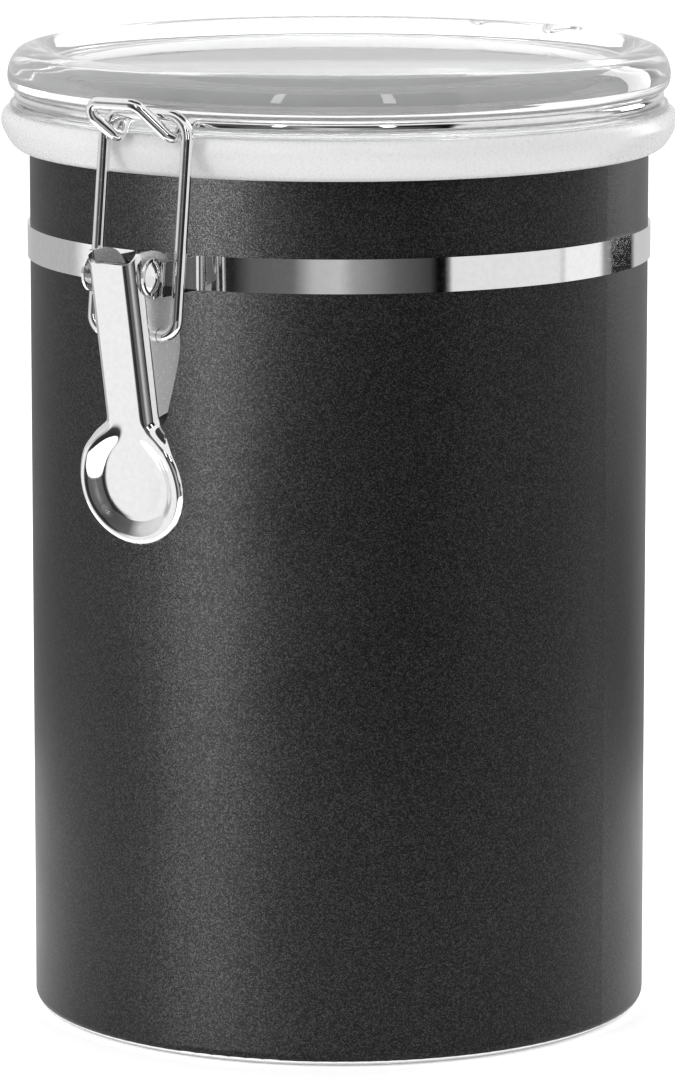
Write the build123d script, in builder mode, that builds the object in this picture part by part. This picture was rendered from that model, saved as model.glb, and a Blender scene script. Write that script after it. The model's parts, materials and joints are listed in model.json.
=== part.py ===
"""Food canister: a steel can with a clear hinged lid, held shut by a wire bail and an over-centre lever.

Millimetres, +Z up. The origin is the centre of the can's base. The latch is at -Y and the hinge at +Y.
"""
from build123d import *
from math import asin, atan2, cos, pi, sin, sqrt
import os

os.makedirs("parts", exist_ok=True)

# ---- driving dimensions ----
body_radius = 59.5
wall = 0.6
paint_bottom = 0.75       # the shell stops here, and the bare foot of the base pan shows below it
rim_top = 170.0
rim_bead = 0.9            # radius of the rolled rim
floor_top = 3.4

band_bottom = 146.6
band_top = 153.0
band_sheet = 0.5
slip = 0.02               # between the shell and everything clamped round it
ear_centre = 6.6          # middle of each ear's sheet, from the latch's centre plane
ear_bend = 1.65           # bend radius at the middle of the sheet
ear_lobe = 3.5            # radius of the round end of each ear

lever_pivot_y = -74.5
lever_pivot_z = 150.6
shank_radius = 1.5
shank_fit = 0.05
spacer_radius = 2.2
running_fit = 0.08        # radial clearance of every joint that turns

bail_wire_radius = 1.15
bail_pivot_y = -70.9
bail_pivot_z = 139.4
bail_bar_y = -66.2
bail_bar_z = 179.3
bail_half_width = 9.1

lever_half_width = 5.5
lever_sheet = 0.8
spoon_radius = 11.2
spoon_bottom = 100.0

ring_wire_radius = 1.125
ring_radius = 61.25
ring_z = 177.5
hinge_y = 65.5
hinge_z = 150.0
hinge_arm_x = 9.0

lid_seat = 172.05         # underside of the lid's flange, on the gasket


def outline_face(points):
    """A closed outline of radius and height, standing in the XZ plane ready to revolve."""
    with BuildSketch(Plane.XZ) as profile:
        with BuildLine():
            Polyline(*points, close=True)
        make_face()
    return profile.sketch


def along_x(y, z, start=0.0):
    """A plane facing +X at this place, with its own X along +Y and its own Y along +Z."""
    return Plane(origin=(start, y, z), x_dir=(0, 1, 0), z_dir=(1, 0, 0))


def radial_plane(turn, radius, height):
    """A plane facing outwards from the can's wall, turned this many radians from the rear towards +X."""
    return Plane(
        origin=(radius * sin(turn), radius * cos(turn), height),
        x_dir=(cos(turn), -sin(turn), 0),
        z_dir=(sin(turn), cos(turn), 0),
    )


# ---- shell: a painted tube with a rolled rim and a lower edge turned in round the base pan ----
inner_radius = body_radius - wall
hem_radius = 58.0
with BuildPart() as canister_shell:
    with BuildSketch(Plane.XZ):
        with BuildLine():
            Polyline((hem_radius, 1.3), (hem_radius, paint_bottom), (hem_radius + 0.7, paint_bottom))
            ThreePointArc((hem_radius + 0.7, paint_bottom), (body_radius - 0.23, 1.35), (body_radius, 2.4))
            Polyline(
                (body_radius, 2.4), (body_radius, rim_top - rim_bead), (inner_radius, rim_top - rim_bead),
                (inner_radius, 2.7), (hem_radius, 1.3),
            )
        make_face()
        with Locations((body_radius - 0.1, rim_top - rim_bead)):
            Circle(rim_bead)
    revolve(axis=Axis.Z)
canister_shell.part.label = "canister_shell"
export_step(canister_shell.part, "parts/canister_shell.step")

# ---- base pan: bare steel, its foot shows as a thin bright line under the paint ----
foot_radius = hem_radius - 0.05
pan_radius = inner_radius - 0.05
with BuildPart() as base_pan:
    revolve(outline_face([
        (0, floor_top - wall), (55.4, floor_top - wall), (56.3, 0.4), (56.8, 0), (foot_radius - 0.4, 0),
        (foot_radius, 0.35), (foot_radius, 1.8), (pan_radius, 3.3), (pan_radius, 6.0),
        (pan_radius - wall, 6.0), (pan_radius - wall, floor_top + 0.7), (pan_radius - wall - 0.7, floor_top),
        (0, floor_top),
    ]), axis=Axis.Z)
base_pan.part.label = "base_pan"
export_step(base_pan.part, "parts/base_pan.step")

# ---- clamp band: one strip round the shell, both ends bent out as the ears that carry the lever ----
band_inner = body_radius + slip
band_outer = band_inner + band_sheet
band_middle = band_inner + band_sheet / 2
band_height = band_top - band_bottom
band_centre_z = (band_top + band_bottom) / 2
bend_x = ear_centre + ear_bend
bend_y = -sqrt((band_middle + ear_bend) ** 2 - bend_x ** 2)
bend_leaves = atan2(-bend_y, -bend_x)
bend_half_way = (bend_leaves + pi) / 2
band_end = (bend_x + ear_bend * cos(bend_leaves), bend_y + ear_bend * sin(bend_leaves))
bend_middle = (bend_x + ear_bend * cos(bend_half_way), bend_y + ear_bend * sin(bend_half_way))
hinge_rivet_turn = asin(8.3 / band_middle)
hinge_rivet_hole = 1.05


def other_side(point):
    return (-point[0], point[1])


with BuildPart() as clamp_band:
    with BuildSketch(Plane.XY.offset(band_bottom)):
        with BuildLine():
            ThreePointArc(band_end, (0, band_middle), other_side(band_end))
            ThreePointArc(band_end, bend_middle, (ear_centre, bend_y))
            ThreePointArc(other_side(band_end), other_side(bend_middle), (-ear_centre, bend_y))
            Line((ear_centre, bend_y), (ear_centre, lever_pivot_y))
            Line((-ear_centre, bend_y), (-ear_centre, lever_pivot_y))
        trace(line_width=band_sheet)
    extrude(amount=band_height)
    for middle in (ear_centre, -ear_centre):
        with BuildSketch(along_x(lever_pivot_y, lever_pivot_z, middle - band_sheet / 2)):
            Circle(ear_lobe)
        extrude(amount=band_sheet)
    with Locations(along_x(lever_pivot_y, lever_pivot_z)):
        Hole(shank_radius + shank_fit, depth=2 * ear_centre)
    for turn in (hinge_rivet_turn, -hinge_rivet_turn):
        with Locations(radial_plane(turn, band_middle, band_centre_z)):
            Hole(hinge_rivet_hole, depth=2 * band_sheet)
clamp_band.part.label = "clamp_band"
export_step(clamp_band.part, "parts/clamp_band.step")

# ---- band saddle: a short curved plate that closes the band's line behind the latch ----
saddle_half_width = 6.2
with BuildPart() as band_saddle:
    with BuildSketch(Plane.XY.offset(band_bottom)):
        Circle(band_outer)
        Circle(band_inner, mode=Mode.SUBTRACT)
        with Locations((0, -band_middle)):
            Rectangle(2 * saddle_half_width, 8, mode=Mode.INTERSECT)
    extrude(amount=band_height)
band_saddle.part.label = "band_saddle"
export_step(band_saddle.part, "parts/band_saddle.step")

# ---- hinge bracket: a leaf riveted over the band, with a knuckle for the ends of the lid's wire ----
bracket_half_width = 11.0
bracket_sheet = 0.8
bracket_height = 5.8
bracket_inner = band_outer + slip
knuckle_half_width = 6.0
knuckle_bore = ring_wire_radius + running_fit
knuckle_radius = knuckle_bore + bracket_sheet
web_start = bracket_inner + 0.4
with BuildPart() as hinge_bracket:
    with BuildSketch(Plane.XY.offset(band_centre_z - bracket_height / 2)):
        Circle(bracket_inner + bracket_sheet)
        Circle(bracket_inner, mode=Mode.SUBTRACT)
        with Locations((0, bracket_inner)):
            Rectangle(2 * bracket_half_width, 8, mode=Mode.INTERSECT)
    extrude(amount=bracket_height)
    with BuildSketch(along_x(hinge_y, hinge_z, -knuckle_half_width)):
        Circle(knuckle_radius)
        for side in (1, -1):
            with Locations(((web_start - hinge_y) / 2, side * (knuckle_radius - bracket_sheet / 2))):
                Rectangle(hinge_y - web_start, bracket_sheet)
    extrude(amount=2 * knuckle_half_width)
    with Locations(along_x(hinge_y, hinge_z)):
        Hole(knuckle_bore, depth=2 * knuckle_half_width)
    for turn in (hinge_rivet_turn, -hinge_rivet_turn):
        with Locations(radial_plane(turn, bracket_inner + bracket_sheet / 2, band_centre_z)):
            Hole(hinge_rivet_hole, depth=2 * bracket_sheet)
hinge_bracket.part.label = "hinge_bracket"
export_step(hinge_bracket.part, "parts/hinge_bracket.step")


def rivet_face(length, radius, head_radius, head_height):
    """Half the section of a rivet that stands on the origin: its shank along +Z, then a domed head."""
    dome = (head_radius ** 2 + head_height ** 2) / (2 * head_height)
    half_way = asin(head_radius / dome) / 2
    with BuildSketch(Plane.XZ) as section:
        with BuildLine():
            Polyline((0, length + head_height), (0, 0), (radius, 0), (radius, length), (head_radius, length))
            ThreePointArc(
                (head_radius, length),
                (dome * sin(half_way), length + head_height - dome * (1 - cos(half_way))),
                (0, length + head_height),
            )
        make_face()
    return section.sketch


# ---- hinge rivets: a pair, flush with the inside of the band ----
rivet_grip = band_sheet + bracket_sheet + slip
with BuildPart() as plain_rivet:
    revolve(rivet_face(rivet_grip, 1.0, 1.7, 0.6), axis=Axis.Z)
with BuildPart() as hinge_rivets:
    for turn in (hinge_rivet_turn, -hinge_rivet_turn):
        add(plain_rivet.part.moved(radial_plane(turn, band_inner + 0.02, band_centre_z).location))
hinge_rivets.part.label = "hinge_rivets"
export_step(hinge_rivets.part, "parts/hinge_rivets.step")

# ---- lever rivet, and the spacer tube that keeps the ears apart and carries the lever ----
ear_outer = ear_centre + band_sheet / 2
spacer_half_length = ear_centre - band_sheet / 2 - 0.02
with BuildPart() as half_rivet:
    revolve(rivet_face(ear_outer + 0.01, shank_radius, 2.95, 0.75), axis=Axis.Z)
with BuildPart() as lever_rivet:
    add(half_rivet.part.moved(along_x(lever_pivot_y, lever_pivot_z).location))
    mirror(about=Plane.YZ)
lever_rivet.part.label = "lever_rivet"
export_step(lever_rivet.part, "parts/lever_rivet.step")

with BuildPart() as lever_spacer:
    with BuildSketch(along_x(lever_pivot_y, lever_pivot_z, -spacer_half_length)):
        Circle(spacer_radius)
        Circle(shank_radius + shank_fit, mode=Mode.SUBTRACT)
    extrude(amount=2 * spacer_half_length)
lever_spacer.part.label = "lever_spacer"
export_step(lever_spacer.part, "parts/lever_spacer.step")

# ---- thumb dish: flat in the middle, flush with the lever's face, sloping up to a rolled rim ----
with BuildPart() as thumb_dish:
    revolve(outline_face([
        (0, -lever_sheet), (6.9, -lever_sheet), (10.1, 0.75), (11.0, 0.85), (spoon_radius, 1.2), (11.0, 1.6),
        (9.7, 1.55), (6.5, 0), (0, 0),
    ]), axis=Axis.Z)
    with Locations((0, spoon_radius, 0)):
        Box(2 * (lever_half_width - lever_sheet), spoon_radius, 8, mode=Mode.SUBTRACT)

# ---- latch lever: a pressed channel round both pivots, its face running down into the thumb dish ----
face_top = Vector(-79.2, 153.0)
face_foot = Vector(-73.6, 123.6)
crown_corner = Vector(-67.0, 155.2)
heel_corner = Vector(-63.0, 136.6)
flange_foot = Vector(-68.6, 123.6)
face_up = (face_top - face_foot).normalized()
face_in = Vector(face_up.Y, -face_up.X)
dish_centre_z = spoon_bottom + spoon_radius * face_up.Y
dish_centre = face_foot - face_up * ((face_foot.Y - dish_centre_z) / face_up.Y)
face_plane = Plane(
    origin=(0, dish_centre.X, dish_centre.Y),
    x_dir=(1, 0, 0),
    z_dir=(0, -face_in.X, -face_in.Y),
)
foot_above_dish = (face_foot - dish_centre).length
tongue_start = spoon_radius / 2 + 0.5


def pair(vector):
    return (vector.X, vector.Y)


with BuildPart() as latch_lever:
    with BuildSketch(along_x(0, 0, -lever_half_width)):
        with BuildLine():
            Polyline(
                pair(face_foot), pair(face_top), (-77.4, crown_corner.Y), pair(crown_corner),
                pair(heel_corner), pair(flange_foot), close=True,
            )
        make_face()
    extrude(amount=2 * lever_half_width)
    long_edges = latch_lever.edges().filter_by(Axis.X)
    fillet(long_edges.sort_by_distance((0, *pair(crown_corner)))[0], 5.2)
    fillet(latch_lever.edges().filter_by(Axis.X).sort_by_distance((0, *pair(heel_corner)))[0], 6.5)
    face_edges = latch_lever.edges().filter_by(Axis((0, 0, 0), (0, *pair(face_up))))
    fillet(face_edges, 1.3)
    with BuildSketch(along_x(0, 0, lever_sheet - lever_half_width)):
        with BuildLine():
            low_cut = face_foot + face_in * lever_sheet - face_up * 6
            high_cut = face_top + face_in * lever_sheet + face_up * 6
            Polyline(pair(low_cut), pair(high_cut), (-55, 165), (-55, 112), close=True)
        make_face()
    extrude(amount=2 * (lever_half_width - lever_sheet), mode=Mode.SUBTRACT)
    add(thumb_dish.part.moved(face_plane.location))
    with BuildSketch(face_plane.offset(-lever_sheet)):
        with Locations((0, (tongue_start + foot_above_dish + 1) / 2)):
            Rectangle(2 * (lever_half_width - 0.3), foot_above_dish + 1 - tongue_start)
    extrude(amount=lever_sheet)
    with Locations(along_x(lever_pivot_y, lever_pivot_z)):
        Hole(spacer_radius + running_fit, depth=2 * lever_half_width)
    with Locations(along_x(bail_pivot_y, bail_pivot_z)):
        Hole(bail_wire_radius + running_fit, depth=2 * lever_half_width)
latch_lever.part.label = "latch_lever"
export_step(latch_lever.part, "parts/latch_lever.step")

# ---- bail: one wire bent to a long loop, its two ends turned in through the lever's flanges ----
bail_end_x = lever_half_width - lever_sheet - 0.6
bail_pin_bend = 3.0
bail_top_bend = 4.0
with BuildPart() as bail_wire:
    with BuildLine() as bail_line:
        FilletPolyline(
            (bail_end_x, bail_pivot_y, bail_pivot_z),
            (bail_half_width, bail_pivot_y, bail_pivot_z),
            (bail_half_width, bail_bar_y, bail_bar_z),
            (-bail_half_width, bail_bar_y, bail_bar_z),
            (-bail_half_width, bail_pivot_y, bail_pivot_z),
            (-bail_end_x, bail_pivot_y, bail_pivot_z),
            radius=[bail_pin_bend, bail_top_bend, bail_top_bend, bail_pin_bend],
        )
    with BuildSketch(along_x(bail_pivot_y, bail_pivot_z, bail_end_x)):
        Circle(bail_wire_radius)
    sweep(path=bail_line.wire())
bail_wire.part.label = "bail_wire"
export_step(bail_wire.part, "parts/bail_wire.step")

# ---- lid ring: one wire round the lid, drawn out at the front as a hook and behind as the hinge arms ----
leave_front_x = 9.5
leave_rear_x = 11.6
pin_end_x = 3.0
bend = 2.2


def ring_point(x, side):
    """Where the ring's centre line is x off centre, at the front (-1) or the rear (1)."""
    return Vector(x, side * sqrt(ring_radius ** 2 - x ** 2), ring_z)


def before_ring(x, side, distance):
    """A point on the ring's tangent at that place, this far towards the middle of that side."""
    start = ring_point(x, side)
    along = Vector(start.Y, -start.X, 0).normalized() * (side if x > 0 else -side)
    return start - along * distance


hook_points = [
    ring_point(leave_front_x, -1),
    before_ring(leave_front_x, -1, 2.8),
    Vector(6.6, -64.0, ring_z),
    Vector(6.2, -66.6, 174.6),
    Vector(0.4, -70.4, 181.4),
    Vector(-9.4, -70.9, 181.4),
    Vector(-9.2, -70.5, 178.9),
    Vector(-5.6, -67.0, 174.5),
    Vector(-6.4, -64.0, ring_z),
    before_ring(-leave_front_x, -1, 2.8),
    ring_point(-leave_front_x, -1),
]
arm_points = [
    ring_point(leave_rear_x, 1),
    before_ring(leave_rear_x, 1, 2.8),
    Vector(hinge_arm_x, 67.3, 177.2),
    Vector(hinge_arm_x, hinge_y, hinge_z),
    Vector(pin_end_x, hinge_y, hinge_z),
]
arm_bends = [bend, 3.0, 2.4]
far_side = Vector(ring_radius, 0, ring_z)


def mirrored(points):
    return [Vector(-point.X, point.Y, point.Z) for point in points]


with BuildPart() as lid_ring:
    with BuildLine() as ring_line:
        FilletPolyline(*reversed(arm_points), radius=arm_bends[::-1])
        ThreePointArc(ring_point(leave_rear_x, 1), far_side, ring_point(leave_front_x, -1))
        FilletPolyline(*hook_points, radius=[bend, 1.4, 1.7, 2.6, 1.5, 2.4, 1.5, 1.4, bend])
        ThreePointArc(ring_point(-leave_front_x, -1), far_side * -1 + Vector(0, 0, 2 * ring_z),
                      ring_point(-leave_rear_x, 1))
        FilletPolyline(*mirrored(arm_points), radius=arm_bends)
    with BuildSketch(along_x(hinge_y, hinge_z, pin_end_x)):
        Circle(ring_wire_radius)
    sweep(path=ring_line.wire())
lid_ring.part.label = "lid_ring"
export_step(lid_ring.part, "parts/lid_ring.step")

# ---- gasket: a soft ring under and round the lid's flange, its lip hanging outside the rolled rim ----
gasket_bottom = rim_top + 0.3
with BuildPart() as lid_gasket:
    with BuildSketch(Plane.XZ):
        with BuildLine():
            Polyline(
                (60.9, 167.5), (61.3, 169.2), (61.3, gasket_bottom), (56.6, gasket_bottom),
                (56.6, lid_seat - 0.02), (62.7, lid_seat - 0.02), (62.7, 175.1), (63.7, 175.1),
            )
            Spline(
                (63.7, 175.1), (64.6, 174.3), (64.9, 173.0), (64.5, 171.3), (63.5, 169.6), (62.0, 167.9),
                (60.9, 167.5),
            )
        make_face()
    revolve(axis=Axis.Z)
lid_gasket.part.label = "lid_gasket"
export_step(lid_gasket.part, "parts/lid_gasket.step")

# ---- lid: a clear hollow cap with a recessed top, and a groove round it for the wire ring ----
lid_top = 187.0
recess_floor = 183.6
with BuildPart() as lid_cover:
    with BuildSketch(Plane.XZ):
        with BuildLine():
            Polyline(
                (0, recess_floor), (0, 180.6), (51.5, 180.6), (55.0, 178.6), (56.7, 175.0), (56.7, lid_seat),
                (62.65, lid_seat), (62.65, 175.2), (63.2, 175.2), (63.2, 176.2), (61.9, 176.2), (61.9, 178.8),
                (62.5, 178.8),
            )
            Spline(
                (62.5, 178.8), (63.4, 179.9), (63.65, 181.3), (63.4, 183.2), (62.3, 185.4), (60.6, 186.6),
                (58.6, lid_top), (56.6, 186.7), (54.8, 185.6), (53.2, 184.2), (51.0, recess_floor),
            )
            Line((51.0, recess_floor), (0, recess_floor))
        make_face()
        with Locations((ring_radius, ring_z)):
            Circle(ring_wire_radius + 0.06, mode=Mode.SUBTRACT)
            with Locations((2, 0)):
                Rectangle(4, 2 * (ring_wire_radius + 0.06), mode=Mode.SUBTRACT)
    revolve(axis=Axis.Z)
lid_cover.part.label = "lid_cover"
export_step(lid_cover.part, "parts/lid_cover.step")
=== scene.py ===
"""Food canister: a black steel can with a clear acrylic lid, a bright band and a wire latch."""
import json
import math

import bmesh
import bpy
from mathutils import Matrix, Vector


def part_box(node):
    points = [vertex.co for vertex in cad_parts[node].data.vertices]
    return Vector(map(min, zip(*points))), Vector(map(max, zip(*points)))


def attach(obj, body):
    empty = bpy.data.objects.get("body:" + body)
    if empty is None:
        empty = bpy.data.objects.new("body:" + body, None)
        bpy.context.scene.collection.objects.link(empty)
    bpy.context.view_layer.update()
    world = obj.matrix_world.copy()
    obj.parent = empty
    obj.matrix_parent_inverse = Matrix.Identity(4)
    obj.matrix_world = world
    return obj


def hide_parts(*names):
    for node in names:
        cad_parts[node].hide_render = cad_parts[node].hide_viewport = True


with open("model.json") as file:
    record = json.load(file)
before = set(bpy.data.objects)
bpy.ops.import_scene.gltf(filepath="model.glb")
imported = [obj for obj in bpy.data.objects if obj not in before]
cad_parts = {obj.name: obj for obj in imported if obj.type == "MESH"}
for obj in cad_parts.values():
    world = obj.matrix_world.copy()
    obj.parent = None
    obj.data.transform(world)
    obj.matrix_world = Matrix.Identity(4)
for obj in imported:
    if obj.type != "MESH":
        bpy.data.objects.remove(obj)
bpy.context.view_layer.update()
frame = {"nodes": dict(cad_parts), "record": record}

MM = 0.001

# ---- camera: above the lid, looking a little down at the can ----
CAMERA_TURN = math.radians(32.1)      # round the can from the latch, towards +X
CAMERA_DISTANCE = 1.227
CAMERA_HEIGHT = 0.3045
CAMERA_LENS = 213.5
AIM_HEIGHT = 0.0903
AIM_ASIDE = -0.0003

# ---- light rig: azimuths are in degrees from the camera's own, positive to its right ----
WORLD_LIGHT = 1.0
CAN_MIDDLE = Vector((0, 0, 0.09))
KEY_TURN, KEY_DISTANCE, KEY_HEIGHT = -48, 1.3, 0.55
KEY_POWER, SHEEN_POWER, RIM_POWER, TOP_POWER = 6, 66, 5, 6
RIM_TURN, RIM_DISTANCE, RIM_HEIGHT = 125, 1.2, 0.4
TOP_PLACE = Vector((0, 0.1, 1.5))
FLOOR_SIZE = 12
FLOOR_GLOW = 0.2
RING_RADIUS = 1.7
RING_SPLIT = 0.1          # height at which the low ring stops and the high ring starts
RING_HEIGHT = 1.2
RING_FLOOR = 0.24         # the low ring also covers the floor from this radius out
RING_STEPS = 96
CEILING_RADIUS, CEILING_HEIGHT = 1.0, 1.9
# what bright metal sees round it, low down, higher up and overhead: azimuth and brightness
LOW_STUDIO = [
    (-180, 0.62), (-152, 0.50), (-112, 0.50), (-104, 1.0), (-60, 1.0), (-53, 0.06), (-38, 0.02),
    (-31, 0.12), (-16, 0.15), (-9, 0.52), (0, 0.58), (5, 0.36), (20, 0.13), (33, 0.05), (34.5, 0.003),
    (39, 0.003), (40.5, 0.85), (86, 0.88), (88, 0.62), (90, 1.0), (109, 1.0), (112, 0.32),
    (116, 0.27), (118, 0.02), (134, 0.02), (138, 0.62),
]
HIGH_STUDIO = [
    (-180, 0.75), (-110, 0.75), (-100, 0.85), (-72, 0.70), (-56, 0.14), (-30, 0.08), (-12, 0.30),
    (-4, 0.04), (40, 0.01), (46, 0.9), (96, 1.0), (112, 0.3), (120, 0.04), (138, 0.05), (146, 0.75),
]
TOP_STUDIO = [(-180, 0.5), (-150, 0.06), (-30, 0.03), (30, 0.05), (150, 0.1), (170, 0.5)]
STREAKS = [(-21, 0.10, 6.0), (17, 0.12, 6.0)]    # azimuth, width and brightness of two tall lamps
STREAK_DISTANCE, STREAK_MIDDLE, STREAK_HALF = 1.6, 0.75, 0.4

PAINT_FROM = 0.0591       # the shell is painted outside this radius and bare steel inside it
FLAKE_SCALE = 5200

# ---- latch lever, in millimetres: up from the tip of its thumb dish, and back from its face ----
LEVER_LEAN = math.radians(10.785)
PIVOT_UP, PIVOT_BACK, PIVOT_HOLE = 50.716, 4.168, 2.28      # the last is the hole's radius
PIN_UP, PIN_BACK, PIN_HOLE = 39.04, 5.609, 1.23
SHEET = 0.75
EDGE_ROUND = 0.12
DISH_HALF = 11.2
DISH_BELOW = 11.2             # from the dish's tip to its widest row
DISH_ABOVE = 13.4             # and from there up to where its outline would close
DISH_FADE = (17.5, 24.0)      # the dish's raised rim dies away between these heights
RIM_BEND = 0.9
RIM_LIFT = 1.5
RIM_SLOPE = (1.1, 4.9)        # the rim slopes down between these distances in from the outline
NECK_FROM = 24.2
NECK_HALF = 5.5
NECK_BEND = 2.6
NECK_CORNER = 0.8             # how softly the dish's outline runs into the neck's
FACE_TOP = 53.95
FLANGE_START = (21.4, 23.4)   # the flanges grow out of the dish's edge between these heights
FLANGE_FOOT_UP, FLANGE_FOOT = 23.1, 4.9
FLANGE_SLANT = 0.677
FLANGE_BACK = 12.5
FLANGE_CORNER = 1.6
SATIN_FROM = 24.0             # above this height the flanges are less polished than the face
CROWN_FROM = 47.0             # the rows are closer together above this height
CROWN_FADE = 44.0             # the crown's peak fades out down to this height
CROWN_RADIUS = 5.2
CROWN_START = 48.6
CROWN_PEAK, CROWN_PEAK_BACK = 1.82, 2.18
CROWN_FALL = 0.19
OUTLINE_TOP = 27.0
OUTLINE_STEPS = 240
FACE_STEPS, BEND_STEPS, FLANGE_STEPS = 18, 8, 8


def around(turn, distance, height):
    """A place at this azimuth in degrees from the camera's, this far from the can's axis."""
    angle = CAMERA_TURN + math.radians(turn)
    return Vector((distance * math.sin(angle), -distance * math.cos(angle), height))


def look(obj, target):
    """Turns a camera or light at a place to face the target."""
    obj.rotation_euler = (target - obj.location).to_track_quat("-Z", "Y").to_euler()


# ---- materials ----
def new_material(name):
    """A material with its nodes, links and Principled shader."""
    material = bpy.data.materials.new(name)
    material.use_nodes = True
    nodes = material.node_tree.nodes
    shader = nodes["Principled BSDF"]
    return material, nodes, material.node_tree.links, shader


def noise(nodes, links, scale, detail=3.0, stretch=(1, 1, 1)):
    """Noise in the object's own metres, so that it is fixed to the surface."""
    place = nodes.new("ShaderNodeTexCoord")
    mapping = nodes.new("ShaderNodeMapping")
    mapping.inputs["Scale"].default_value = stretch
    texture = nodes.new("ShaderNodeTexNoise")
    texture.inputs["Scale"].default_value = scale
    texture.inputs["Detail"].default_value = detail
    links.new(place.outputs["Object"], mapping.inputs["Vector"])
    links.new(mapping.outputs["Vector"], texture.inputs["Vector"])
    return texture


def ramp(nodes, links, source, low, high, start=0.3, end=0.7):
    """Turns a texture's value into a colour between two colours, or a value between two greys."""
    mix = nodes.new("ShaderNodeValToRGB")
    mix.color_ramp.elements[0].position = start
    mix.color_ramp.elements[1].position = end
    mix.color_ramp.elements[0].color = low
    mix.color_ramp.elements[1].color = high
    links.new(source, mix.inputs["Fac"])
    return mix


def grey(value):
    """This grey as a colour."""
    return (value, value, value, 1)


def bump(nodes, links, shader, source, strength, distance):
    """Raises the surface where the source is bright."""
    node = nodes.new("ShaderNodeBump")
    node.inputs["Strength"].default_value = strength
    node.inputs["Distance"].default_value = distance
    links.new(source, node.inputs["Height"])
    links.new(node.outputs["Normal"], shader.inputs["Normal"])


def outside_of(nodes, links, radius):
    """1 outside this radius from the can's axis and 0 inside it."""
    place = nodes.new("ShaderNodeTexCoord")
    flat = nodes.new("ShaderNodeVectorMath")
    flat.operation = "MULTIPLY"
    flat.inputs[1].default_value = (1, 1, 0)
    length = nodes.new("ShaderNodeVectorMath")
    length.operation = "LENGTH"
    over = nodes.new("ShaderNodeMath")
    over.operation = "GREATER_THAN"
    over.inputs[1].default_value = radius
    links.new(place.outputs["Object"], flat.inputs[0])
    links.new(flat.outputs["Vector"], length.inputs[0])
    links.new(length.outputs["Value"], over.inputs[0])
    return over.outputs["Value"]


def blend_colours(nodes, links, share, inner, outer):
    """One colour where share is 0 and the other where it is 1."""
    mix = nodes.new("ShaderNodeMix")
    mix.data_type = "RGBA"
    links.new(share, mix.inputs["Factor"])
    links.new(inner, mix.inputs["A"])
    links.new(outer, mix.inputs["B"])
    return mix.outputs["Result"]


def black_paint():
    """Semi-matte charcoal paint full of fine metal flakes outside, bare steel inside."""
    material, nodes, links, shader = new_material("black_metallic_paint")
    painted = outside_of(nodes, links, PAINT_FROM)
    flakes = nodes.new("ShaderNodeTexVoronoi")
    flakes.inputs["Scale"].default_value = FLAKE_SCALE
    place = nodes.new("ShaderNodeTexCoord")
    links.new(place.outputs["Object"], flakes.inputs["Vector"])
    colour = ramp(nodes, links, flakes.outputs["Color"], grey(0.006), grey(0.052), 0.45, 1.0)
    marks = noise(nodes, links, 260, 4, (1, 1, 12))
    steel_colour = ramp(nodes, links, marks.outputs["Fac"], grey(0.88), grey(0.95))
    both = blend_colours(nodes, links, painted, steel_colour.outputs["Color"], colour.outputs["Color"])
    links.new(both, shader.inputs["Base Color"])
    cloud = noise(nodes, links, 45, 4)
    metal = ramp(nodes, links, painted, grey(0.15), grey(0.62), 0.4, 0.6)
    links.new(metal.outputs["Color"], shader.inputs["Metallic"])
    rough = ramp(nodes, links, cloud.outputs["Fac"], grey(0.36), grey(0.42))
    steel_rough = ramp(nodes, links, marks.outputs["Fac"], grey(0.24), grey(0.34))
    both_rough = blend_colours(
        nodes, links, painted, steel_rough.outputs["Color"], rough.outputs["Color"],
    )
    links.new(both_rough, shader.inputs["Roughness"])
    shader.inputs["Specular IOR Level"].default_value = 0.3
    grain = nodes.new("ShaderNodeMath")
    grain.operation = "MULTIPLY"
    links.new(painted, grain.inputs[0])
    links.new(flakes.outputs["Distance"], grain.inputs[1])
    bump(nodes, links, shader, grain.outputs["Value"], 0.3, 0.00005)
    return material


def steel(name, tone, rough_low, rough_high, grain=(1, 1, 1), scale=900, relief=0.02, metallic=1.0):
    """Stainless steel: its polish varies a little along the grain."""
    material, nodes, links, shader = new_material(name)
    shader.inputs["Metallic"].default_value = metallic
    marks = noise(nodes, links, scale, 4, grain)
    colour = ramp(nodes, links, marks.outputs["Fac"], grey(tone - 0.04), grey(tone + 0.02))
    links.new(colour.outputs["Color"], shader.inputs["Base Color"])
    rough = ramp(nodes, links, marks.outputs["Fac"], grey(rough_low), grey(rough_high))
    links.new(rough.outputs["Color"], shader.inputs["Roughness"])
    bump(nodes, links, shader, marks.outputs["Fac"], relief, 0.00005)
    return material


def acrylic():
    """Clear moulded acrylic with faint scuffs."""
    material, nodes, links, shader = new_material("clear_acrylic")
    shader.inputs["Base Color"].default_value = (0.975, 0.98, 0.98, 1)
    shader.inputs["Transmission Weight"].default_value = 0.91
    shader.inputs["IOR"].default_value = 1.49
    scuffs = noise(nodes, links, 160, 5)
    rough = ramp(nodes, links, scuffs.outputs["Fac"], grey(0.015), grey(0.05), 0.45, 0.75)
    links.new(rough.outputs["Color"], shader.inputs["Roughness"])
    bump(nodes, links, shader, scuffs.outputs["Fac"], 0.003, 0.0001)
    return material


def silicone():
    """Soft milky silicone with a fine bloom."""
    material, nodes, links, shader = new_material("silicone")
    bloom = noise(nodes, links, 2200, 2)
    colour = ramp(nodes, links, bloom.outputs["Fac"], (0.55, 0.55, 0.55, 1), (0.57, 0.57, 0.57, 1))
    links.new(colour.outputs["Color"], shader.inputs["Base Color"])
    shader.inputs["IOR"].default_value = 1.41
    rough = ramp(nodes, links, bloom.outputs["Fac"], grey(0.26), grey(0.30))
    links.new(rough.outputs["Color"], shader.inputs["Roughness"])
    return material


def cover(node, material):
    """Gives a CAD node its material."""
    obj = frame["nodes"][node]
    if not obj.material_slots:
        obj.data.materials.append(material)
    for slot in obj.material_slots:
        slot.material = material


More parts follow.
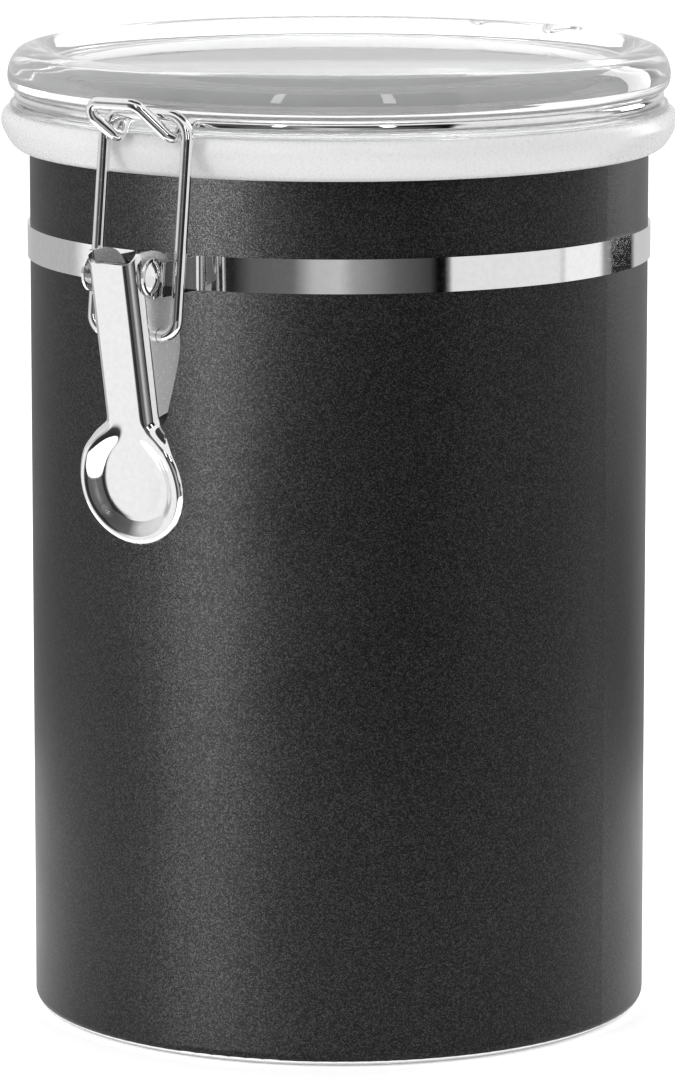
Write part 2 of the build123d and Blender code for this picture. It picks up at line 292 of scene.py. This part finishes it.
# ---- mesh helpers ----
def add_piece(name, mesh, material, body, node):
    """Puts a mesh in the scene as a piece that rides on a body and stands for a CAD node."""
    obj = bpy.data.objects.new(name, mesh)
    bpy.context.scene.collection.objects.link(obj)
    mesh.materials.append(material)
    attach(obj, body)
    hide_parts(node)
    return obj


def tidy_mesh(mesh, sharp_degrees=35):
    """Merges doubled points, turns every face outwards and shades smooth up to this angle."""
    bm = bmesh.new()
    bm.from_mesh(mesh)
    bmesh.ops.remove_doubles(bm, verts=bm.verts, dist=1e-7)
    bmesh.ops.recalc_face_normals(bm, faces=bm.faces)
    bm.to_mesh(mesh)
    bm.free()
    mesh.shade_smooth()
    mesh.set_sharp_from_angle(angle=math.radians(sharp_degrees))


def lathe(name, profile, turns=160):
    """A closed profile of (radius, height) in millimetres, turned about Z."""
    vertices = []
    faces = []
    count = len(profile)
    for turn in range(turns):
        angle = 2 * math.pi * turn / turns
        for radius, height in profile:
            vertices.append((radius * MM * math.cos(angle), radius * MM * math.sin(angle), height * MM))
        here = turn * count
        there = (turn + 1) % turns * count
        for step in range(count):
            ahead = (step + 1) % count
            faces.append((here + step, there + step, there + ahead, here + ahead))
    mesh = bpy.data.meshes.new(name)
    mesh.from_pydata(vertices, [], faces)
    tidy_mesh(mesh)
    return mesh


def curve_through(points, steps=8):
    """A smooth curve through every point, as more points."""
    made = []
    last = len(points) - 1
    for index in range(last):
        before = Vector(points[max(index - 1, 0)])
        start = Vector(points[index])
        end = Vector(points[index + 1])
        after = Vector(points[min(index + 2, last)])
        for step in range(steps):
            t = step / steps
            made.append(tuple(0.5 * (
                2 * start + (end - before) * t + (2 * before - 5 * start + 4 * end - after) * t ** 2
                + (3 * start - before - 3 * end + after) * t ** 3
            )))
    made.append(tuple(points[-1]))
    return made


# ---- latch lever: one pressed sheet, in rows from the tip of the thumb dish up to the crown ----
def ease(low, high, value):
    """Goes smoothly from 0 at low to 1 at high."""
    t = min(max((value - low) / (high - low), 0), 1)
    return t * t * (3 - 2 * t)


def lever_half(up):
    """Half the lever's width at this height: an egg-shaped dish that runs into a straight neck."""
    reach = DISH_BELOW if up < DISH_BELOW else DISH_ABOVE
    share = min(abs(up - DISH_BELOW) / reach, 1)
    dish = DISH_HALF * math.sqrt(1 - share * share)
    if up < DISH_BELOW:
        return dish
    return (dish + NECK_HALF + math.hypot(dish - NECK_HALF, NECK_CORNER)) / 2


def flange_back(up):
    """How far back from the face the flange reaches at this height."""
    slant = FLANGE_FOOT + (up - FLANGE_FOOT_UP) * FLANGE_SLANT
    back = (slant + FLANGE_BACK - math.hypot(slant - FLANGE_BACK, FLANGE_CORNER)) / 2
    if up > CROWN_START:
        over = min(up - CROWN_START, CROWN_RADIUS)
        back -= CROWN_RADIUS - math.sqrt(CROWN_RADIUS ** 2 - over ** 2)
    return back


def edge_drop(inward, bend):
    """How far the sheet has bent back this far in from its edge."""
    if inward >= bend:
        return 0
    return bend - math.sqrt(bend ** 2 - (bend - inward) ** 2)


def crown_rise(back, up):
    """The flanges' top edges rise to a peak just behind the face, then fall to the rear."""
    rise = CROWN_PEAK * min(back / CROWN_PEAK_BACK, 1) - CROWN_FALL * max(back - CROWN_PEAK_BACK, 0)
    return rise * ease(CROWN_FADE, FACE_TOP, up)


lever_outline = []
for step in range(OUTLINE_STEPS + 1):
    outline_up = OUTLINE_TOP * (1 - math.cos(math.pi / 2 * step / OUTLINE_STEPS))
    lever_outline.append((lever_half(outline_up), outline_up))


def from_edge(across, up):
    """The distance in from the lever's outline."""
    half = lever_half(up)
    if up > OUTLINE_TOP - 1:
        return half - abs(across)
    return min(math.hypot(abs(across) - x, up - y) for x, y in lever_outline)


def lever_row(up):
    """One row of the sheet, as (across, out, up): down one flange, over the face, down the other."""
    in_dish = 1 - ease(*DISH_FADE, up)
    half = lever_half(up)
    full_bend = NECK_BEND + (RIM_BEND - NECK_BEND) * in_dish
    bend = min(full_bend, 0.95 * half)
    back = max(flange_back(up) * ease(*FLANGE_START, up), bend + 0.03)
    side = []
    for step in range(FACE_STEPS + 1):
        side.append((half - bend) * step / FACE_STEPS)
    for step in range(1, BEND_STEPS + 1):
        side.append(half - bend + bend * math.sin(math.pi / 2 * step / BEND_STEPS))
    row = []
    for across in side:
        inward = from_edge(across, up) if across < half else 0
        lift = RIM_LIFT * (1 - ease(*RIM_SLOPE, inward)) * in_dish
        drop = edge_drop(inward, full_bend)
        row.append((across, lift - drop, up + crown_rise(drop, up)))
    edge_out = row[-1][1]
    for step in range(1, FLANGE_STEPS + 1):
        depth = (back - bend) * step / FLANGE_STEPS
        row.append((half, edge_out - depth, up + crown_rise(bend + depth, up)))
    other = [(-across, out, height) for across, out, height in row[:0:-1]]
    return other + row


def steps_up(low, high, count):
    """Even steps from just above one height up to another."""
    return [low + (high - low) * step / count for step in range(1, count + 1)]


rows = [DISH_BELOW * (1 - math.cos(math.pi / 2 * step / 30)) for step in range(2, 31)]
rows += steps_up(DISH_BELOW, NECK_FROM, 40)
rows += steps_up(NECK_FROM, CROWN_FROM, 24)
rows += steps_up(CROWN_FROM, FACE_TOP, 24)

lever_pivot = Vector((0, 0, 0))
for joint in frame["record"]["behaviour"]["joints"]:
    if joint["name"] == "lever_pivot":
        lever_pivot = Vector(joint["pos_m"])
face_up = Vector((0, -math.sin(LEVER_LEAN), math.cos(LEVER_LEAN)))
face_out = Vector((0, -math.cos(LEVER_LEAN), -math.sin(LEVER_LEAN)))
dish_tip = lever_pivot - face_up * PIVOT_UP * MM + face_out * PIVOT_BACK * MM


def on_lever(across, out, up):
    """A place on the lever, from millimetres across, out from its face and up it."""
    return dish_tip + Vector((across * MM, 0, 0)) + face_out * out * MM + face_up * up * MM


def drill(name, up, back, radius):
    """A round bar across the lever, to cut a hole through both flanges."""
    mesh = bpy.data.meshes.new(name)
    bm = bmesh.new()
    bmesh.ops.create_cone(
        bm, cap_ends=True, segments=48, radius1=radius * MM, radius2=radius * MM, depth=16 * MM,
    )
    bm.to_mesh(mesh)
    bm.free()
    obj = bpy.data.objects.new(name, mesh)
    bpy.context.scene.collection.objects.link(obj)
    obj.rotation_euler = (0, math.pi / 2, 0)
    obj.location = on_lever(0, -back, up)
    return obj


def lever_sheet(face_material, flange_material):
    """The pressed sheet before it has a thickness."""
    vertices = []
    faces = []
    on_flange = []
    for up in rows:
        vertices += [on_lever(*point) for point in lever_row(up)]
    count = len(vertices) // len(rows)
    for row in range(len(rows) - 1):
        for column in range(count - 1):
            corner = row * count + column
            faces.append((corner, corner + 1, corner + count + 1, corner + count))
            outside = min(column, count - 2 - column) < FLANGE_STEPS
            on_flange.append(outside and rows[row] > SATIN_FROM)
    mesh = bpy.data.meshes.new("lever_sheet")
    mesh.from_pydata(vertices, [], faces)
    mesh.materials.append(face_material)
    mesh.materials.append(flange_material)
    for polygon, flange in zip(mesh.polygons, on_flange):
        polygon.material_index = 1 if flange else 0
    sheet = bpy.data.objects.new("lever_sheet", mesh)
    bpy.context.scene.collection.objects.link(sheet)
    return sheet


def make_lever(face_material, flange_material):
    """The sheet with its thickness, rounded edges and the holes through its flanges."""
    sheet = lever_sheet(face_material, flange_material)
    solid = sheet.modifiers.new("thickness", "SOLIDIFY")
    solid.thickness = SHEET * MM
    solid.offset = -1
    solid.use_quality_normals = True
    rounded = sheet.modifiers.new("edges", "BEVEL")
    rounded.width = EDGE_ROUND * MM
    rounded.segments = 2
    rounded.limit_method = "ANGLE"
    rounded.angle_limit = math.radians(55)
    drills = [
        drill("pivot_drill", PIVOT_UP, PIVOT_BACK, PIVOT_HOLE),
        drill("pin_drill", PIN_UP, PIN_BACK, PIN_HOLE),
    ]
    for tool in drills:
        cut = sheet.modifiers.new(tool.name, "BOOLEAN")
        cut.operation = "DIFFERENCE"
        cut.object = tool
        cut.solver = "EXACT"
    bpy.context.view_layer.update()
    graph = bpy.context.evaluated_depsgraph_get()
    made = bpy.data.meshes.new_from_object(sheet.evaluated_get(graph))
    for obj in (sheet, *drills):
        bpy.data.objects.remove(obj)
    made.shade_smooth()
    made.set_sharp_from_angle(angle=math.radians(38))
    made.name = "lever_pressing"
    obj = bpy.data.objects.new("lever_pressing", made)
    bpy.context.scene.collection.objects.link(obj)
    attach(obj, "lever")
    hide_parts("latch_lever")


paint = black_paint()
bright = steel("polished_steel_sheet", 0.86, 0.035, 0.075)
wire_steel = steel("polished_steel_wire", 0.84, 0.03, 0.07)
brushed = steel("brushed_steel", 0.62, 0.22, 0.34, (1, 1, 20), 300, 0.05)
clear = acrylic()
soft = silicone()
finishes = {
    "canister_shell": paint, "base_pan": brushed, "clamp_band": bright, "band_saddle": bright,
    "hinge_bracket": bright, "hinge_rivets": bright, "lever_rivet": bright, "lever_spacer": brushed,
    "latch_lever": bright, "bail_wire": wire_steel, "lid_ring": wire_steel, "lid_cover": clear,
    "lid_gasket": soft,
}
for node, finish in finishes.items():
    cover(node, finish)
satin = steel("satin_steel_flange", 0.80, 0.22, 0.28, (1, 1, 6), 900, 0.003, 0.55)
make_lever(bright, satin)


# ---- turned pieces that stand for the lid, its gasket and the lever's rivet ----
def lid_profile():
    """The lid's section: in from its outer radius and down from its crest, in millimetres."""
    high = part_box("lid_cover")[1]
    outer = high[0] / MM
    top = high[2] / MM
    lip = [
        (1.15, 8.2), (0.62, 7.75), (0.25, 7.1), (0.05, 6.3), (0.0, 5.6), (0.08, 4.6), (0.35, 3.5),
        (0.75, 2.5), (1.35, 1.6), (2.1, 0.85), (3.05, 0.4), (4.1, 0.1), (5.2, 0.0), (6.2, 0.05),
        (7.2, 0.35), (8.2, 0.95), (9.1, 1.75), (9.9, 2.5), (10.8, 3.05), (11.8, 3.35), (12.65, 3.4),
    ]
    under = [
        (12.15, 6.4), (11.0, 6.55), (9.6, 7.3), (8.65, 8.4), (7.6, 10.2), (7.05, 12.0), (6.95, 14.95),
    ]
    flange = [
        (1.0, 14.95), (1.0, 11.85), (0.5, 11.75), (0.45, 10.85), (0.6, 10.72), (2.1, 10.72), (2.95, 10.65),
        (3.45, 10.2), (3.55, 9.5), (3.4, 8.8), (2.9, 8.35), (2.1, 8.28),
    ]
    section = [(0, top - 3.4)]
    section += [(0, top - 6.4)]
    section += [(outer - inset, top - drop) for inset, drop in curve_through(under, 4)]
    section += [(outer - inset, top - drop) for inset, drop in flange]
    section += [(outer - inset, top - drop) for inset, drop in curve_through(lip, 4)]
    return section


lid_mesh = lathe("lid_moulding", lid_profile())
lid = add_piece("lid_moulding", lid_mesh, clear, "lid", "lid_cover")
lid.visible_shadow = False    # lets light through to the inside of the can


def gasket_profile():
    """A rounded lip outside the can's rim, thinner under the lid's flange."""
    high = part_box("lid_gasket")[1]
    outer = high[0] / MM
    top = high[2] / MM
    lip = [
        (1.2, 0.0), (0.6, 0.35), (0.2, 1.1), (0.0, 2.1), (0.1, 3.0), (0.5, 4.1), (1.3, 5.6), (2.1, 6.7),
        (2.9, 7.35), (3.5, 7.58), (3.95, 7.5), (3.9, 7.0), (3.65, 5.9),
    ]
    inner = [(3.6, 4.8), (8.3, 4.8), (8.3, 3.07), (2.2, 3.07), (2.2, 0.0)]
    section = [(outer - inset, top - drop) for inset, drop in curve_through(lip, 4)]
    return section + [(outer - inset, top - drop) for inset, drop in inner]


gasket_mesh = lathe("gasket_ring", gasket_profile())
add_piece("gasket_ring", gasket_mesh, soft, "lid", "lid_gasket")


def rivet_profile():
    """Head, shank and head, along the rivet's own axis."""
    low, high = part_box("lever_rivet")
    head = (high[2] - low[2]) / 2 / MM
    length = high[0] / MM
    dome = [(0, 0), (0.7, 0.04), (1.4, 0.17), (2.0, 0.34), (2.45, 0.5), (2.75, 0.63), (head - 0.03, 0.72)]
    half = [(radius, length - drop) for radius, drop in curve_through(dome, 4)]
    half += [(head, length - 0.735), (head - 0.02, length - 0.75), (1.5, length - 0.75)]
    return half + [(radius, -along) for radius, along in reversed(half)]


rivet_mesh = lathe("lever_rivet_turned", rivet_profile(), 72)
rivet_mesh.transform(Matrix.Rotation(math.pi / 2, 4, "Y"))
rivet_mesh.transform(Matrix.Translation(lever_pivot))
add_piece("lever_rivet_turned", rivet_mesh, bright, "canister", "lever_rivet")

# ---- floor, world and lights ----
bpy.ops.mesh.primitive_plane_add(size=FLOOR_SIZE)
floor = bpy.context.object
floor.name = "floor"
floor_material, nodes, links, shader = new_material("pale_floor")
fleck = noise(nodes, links, 6, 2)
tint = ramp(nodes, links, fleck.outputs["Fac"], grey(0.95), grey(0.97))
links.new(tint.outputs["Color"], shader.inputs["Base Color"])
shader.inputs["Roughness"].default_value = 0.6
shader.inputs["Emission Color"].default_value = (1, 1, 1, 1)
shader.inputs["Emission Strength"].default_value = FLOOR_GLOW
floor.data.materials.append(floor_material)

world = bpy.data.worlds.new("studio")
bpy.context.scene.world = world
world.use_nodes = True
background = world.node_tree.nodes["Background"]
background.inputs["Color"].default_value = (1, 1, 1, 1)
background.inputs["Strength"].default_value = WORLD_LIGHT


def softbox(name, place, width, height, power):
    """A rectangular area light that faces the can."""
    data = bpy.data.lights.new(name, "AREA")
    data.shape = "RECTANGLE"
    data.size = width
    data.size_y = height
    data.energy = power
    light = bpy.data.objects.new(name, data)
    bpy.context.scene.collection.objects.link(light)
    light.location = place
    look(light, CAN_MIDDLE)
    return light


key_place = around(KEY_TURN, KEY_DISTANCE, KEY_HEIGHT)
key = softbox("key_light", key_place, 0.34, 1.1, KEY_POWER)
key.visible_glossy = False
# the soft highlight down the paint, from a light that only the painted shell sees
sheen = softbox("sheen_light", key_place, 0.20, 1.1, SHEEN_POWER)
sheen.visible_diffuse = False
sheen.data.use_shadow = False
only_paint = bpy.data.collections.new("sheen_receivers")
only_paint.objects.link(frame["nodes"]["canister_shell"])
sheen.light_linking.receiver_collection = only_paint
softbox("rim_light", around(RIM_TURN, RIM_DISTANCE, RIM_HEIGHT), 0.4, 0.9, RIM_POWER)
top = softbox("top_light", TOP_PLACE, 1.2, 1.2, TOP_POWER)
top.visible_glossy = False


def glow_material(name):
    """A material that gives light, and its emission node."""
    material = bpy.data.materials.new(name)
    material.use_nodes = True
    nodes, links = material.node_tree.nodes, material.node_tree.links
    nodes.clear()
    glow = nodes.new("ShaderNodeEmission")
    out = nodes.new("ShaderNodeOutputMaterial")
    links.new(glow.outputs["Emission"], out.inputs["Surface"])
    return material, glow


def reflected_piece(name, vertices, faces, material):
    """A piece of the studio that only mirror-like rays see."""
    mesh = bpy.data.meshes.new(name)
    mesh.from_pydata(vertices, [], faces)
    mesh.materials.append(material)
    obj = bpy.data.objects.new(name, mesh)
    bpy.context.scene.collection.objects.link(obj)
    obj.visible_camera = False
    obj.visible_diffuse = False
    obj.visible_shadow = False
    obj.visible_transmission = False


def studio_ring(name, section, shades_by_azimuth):
    """A ring round the can, lighter and darker by azimuth; section is (radius, height) points."""
    vertices = []
    faces = []
    for step in range(RING_STEPS):
        for radius, height in section:
            vertices.append(around(360 * step / RING_STEPS, radius, height))
        here = step * len(section)
        there = (step + 1) % RING_STEPS * len(section)
        for part in range(len(section) - 1):
            faces.append((here + part, there + part, there + part + 1, here + part + 1))
    material, glow = glow_material(name)
    nodes, links = material.node_tree.nodes, material.node_tree.links
    place = nodes.new("ShaderNodeTexCoord")
    turned = nodes.new("ShaderNodeMapping")
    turned.inputs["Rotation"].default_value = (0, 0, math.pi / 2 - CAMERA_TURN)
    round_axis = nodes.new("ShaderNodeTexGradient")
    round_axis.gradient_type = "RADIAL"
    shades = nodes.new("ShaderNodeValToRGB")
    stops = shades.color_ramp.elements
    stops.remove(stops[-1])
    stops[0].color = grey(shades_by_azimuth[0][1])
    for azimuth, brightness in shades_by_azimuth[1:]:
        stops.new((azimuth + 180) / 360).color = grey(brightness)
    links.new(place.outputs["Object"], turned.inputs["Vector"])
    links.new(turned.outputs["Vector"], round_axis.inputs["Vector"])
    links.new(round_axis.outputs["Fac"], shades.inputs["Fac"])
    links.new(shades.outputs["Color"], glow.inputs["Color"])
    reflected_piece(name, vertices, faces, material)


low_section = [(RING_FLOOR, 0.001), (RING_RADIUS, 0.001), (RING_RADIUS, RING_SPLIT)]
studio_ring("studio_low", low_section, LOW_STUDIO)
studio_ring("studio_high", [(RING_RADIUS, RING_SPLIT), (RING_RADIUS, RING_HEIGHT)], HIGH_STUDIO)
studio_ring("studio_top", [(CEILING_RADIUS, CEILING_HEIGHT), (0.05, CEILING_HEIGHT)], TOP_STUDIO)


def streak(turn, width, brightness):
    """A tall thin lamp."""
    middle = around(turn, STREAK_DISTANCE, STREAK_MIDDLE)
    side = Vector((-middle.y, middle.x, 0)).normalized() * width / 2
    rise = Vector((0, 0, STREAK_HALF))
    corners = [middle - side - rise, middle + side - rise, middle + side + rise, middle - side + rise]
    material, glow = glow_material("streak_lamp")
    glow.inputs["Strength"].default_value = brightness
    reflected_piece("streak_lamp", corners, [(0, 1, 2, 3)], material)


for turn, width, brightness in STREAKS:
    streak(turn, width, brightness)

# ---- camera ----
camera_data = bpy.data.cameras.new("camera")
camera = bpy.data.objects.new("camera", camera_data)
bpy.context.scene.collection.objects.link(camera)
camera.location = around(0, CAMERA_DISTANCE, CAMERA_HEIGHT)
camera_data.lens = CAMERA_LENS
camera_data.sensor_width = 36.0
camera_right = Vector((math.cos(CAMERA_TURN), math.sin(CAMERA_TURN), 0))
look(camera, camera_right * AIM_ASIDE + Vector((0, 0, AIM_HEIGHT)))
bpy.context.scene.camera = camera
bpy.context.scene.view_settings.view_transform = "Standard"
